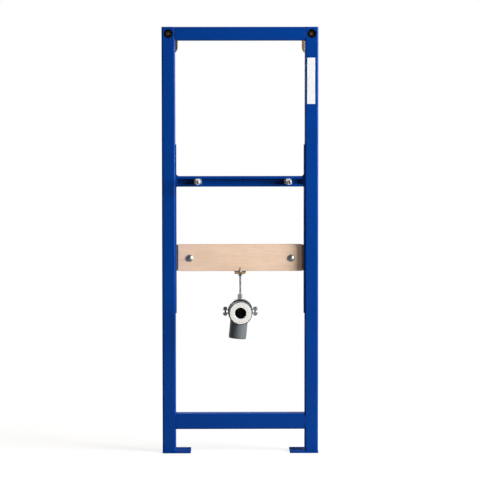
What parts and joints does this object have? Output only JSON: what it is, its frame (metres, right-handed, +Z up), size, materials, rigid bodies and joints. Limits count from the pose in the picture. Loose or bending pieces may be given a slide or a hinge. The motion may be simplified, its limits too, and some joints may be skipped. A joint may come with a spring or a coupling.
{
  "type": "basin installation frame",
  "caption": "Standing tube frame for a wall-hung basin, with a slotted rail and sliding studs, a plywood tap board, wall anchors and a clamped waste elbow.",
  "frame": {"origin": "on the floor, in the middle of the width and of the overall depth", "axes": "+Z up, +X to the right seen from the room, +Y towards the wall"},
  "size_m": [0.44, 0.19, 1.2],
  "materials": {
    "blue_paint": "semi-gloss blue coating",
    "bright_zinc": "bright zinc plating",
    "yellow_zinc": "yellow zinc plating",
    "plywood": "raw beech plywood",
    "white_plastic": "satin white plastic",
    "grey_plastic": "satin grey polypropylene",
    "black_rubber": "matt black rubber",
    "white_rubber": "matt off-white rubber"
  },
  "bodies": {
    "frame": {"left_upright": "blue_paint", "left_closing_plate": "blue_paint", "left_foot": "blue_paint", "left_wall_plate": "yellow_zinc", "left_wall_anchor": "yellow_zinc", "left_anchor_nuts": "yellow_zinc", "left_side_strip": "blue_paint", "left_rail_end": "blue_paint", "left_board_bracket": "yellow_zinc", "left_board_bolt": "bright_zinc", "left_board_nut": "bright_zinc", "left_clamp_screw": "bright_zinc", "right_upright": "blue_paint", "right_closing_plate": "blue_paint", "right_foot": "blue_paint", "right_wall_plate": "yellow_zinc", "right_wall_anchor": "yellow_zinc", "right_anchor_nuts": "yellow_zinc", "right_side_strip": "blue_paint", "right_rail_end": "blue_paint", "right_board_bracket": "yellow_zinc", "right_board_bolt": "bright_zinc", "right_board_nut": "bright_zinc", "right_clamp_screw": "bright_zinc", "top_rail": "blue_paint", "lower_rail": "blue_paint", "mounting_rail": "blue_paint", "tap_board": "plywood", "hanger_bracket": "yellow_zinc", "hanger_rod": "bright_zinc", "hanger_upper_nut": "bright_zinc", "hanger_lower_nut": "bright_zinc", "clamp_upper_half": "bright_zinc", "clamp_lower_half": "bright_zinc", "clamp_lining": "black_rubber"},
    "left_stud_set": {"left_channel_nut": "bright_zinc", "left_stud": "bright_zinc", "left_stud_nut": "bright_zinc", "left_stud_sleeve": "white_plastic"},
    "right_stud_set": {"right_channel_nut": "bright_zinc", "right_stud": "bright_zinc", "right_stud_nut": "bright_zinc", "right_stud_sleeve": "white_plastic"},
    "drain_elbow": {"waste_elbow": "grey_plastic", "waste_seal": "white_rubber"}
  },
  "joints": [
    {"name": "left_stud_slide", "type": "slide", "parent": "frame", "child": "left_stud_set", "axis": [1, 0, 0], "range_m": [-0.039, 0.089]},
    {"name": "right_stud_slide", "type": "slide", "parent": "frame", "child": "right_stud_set", "axis": [-1, 0, 0], "range_m": [-0.024, 0.105]},
    {"name": "elbow_turn", "type": "hinge", "parent": "frame", "child": "drain_elbow", "pos_m": [0, 0.001, 0.402], "axis": [0, 1, 0], "range_deg": [-95, 84]}
  ]
}
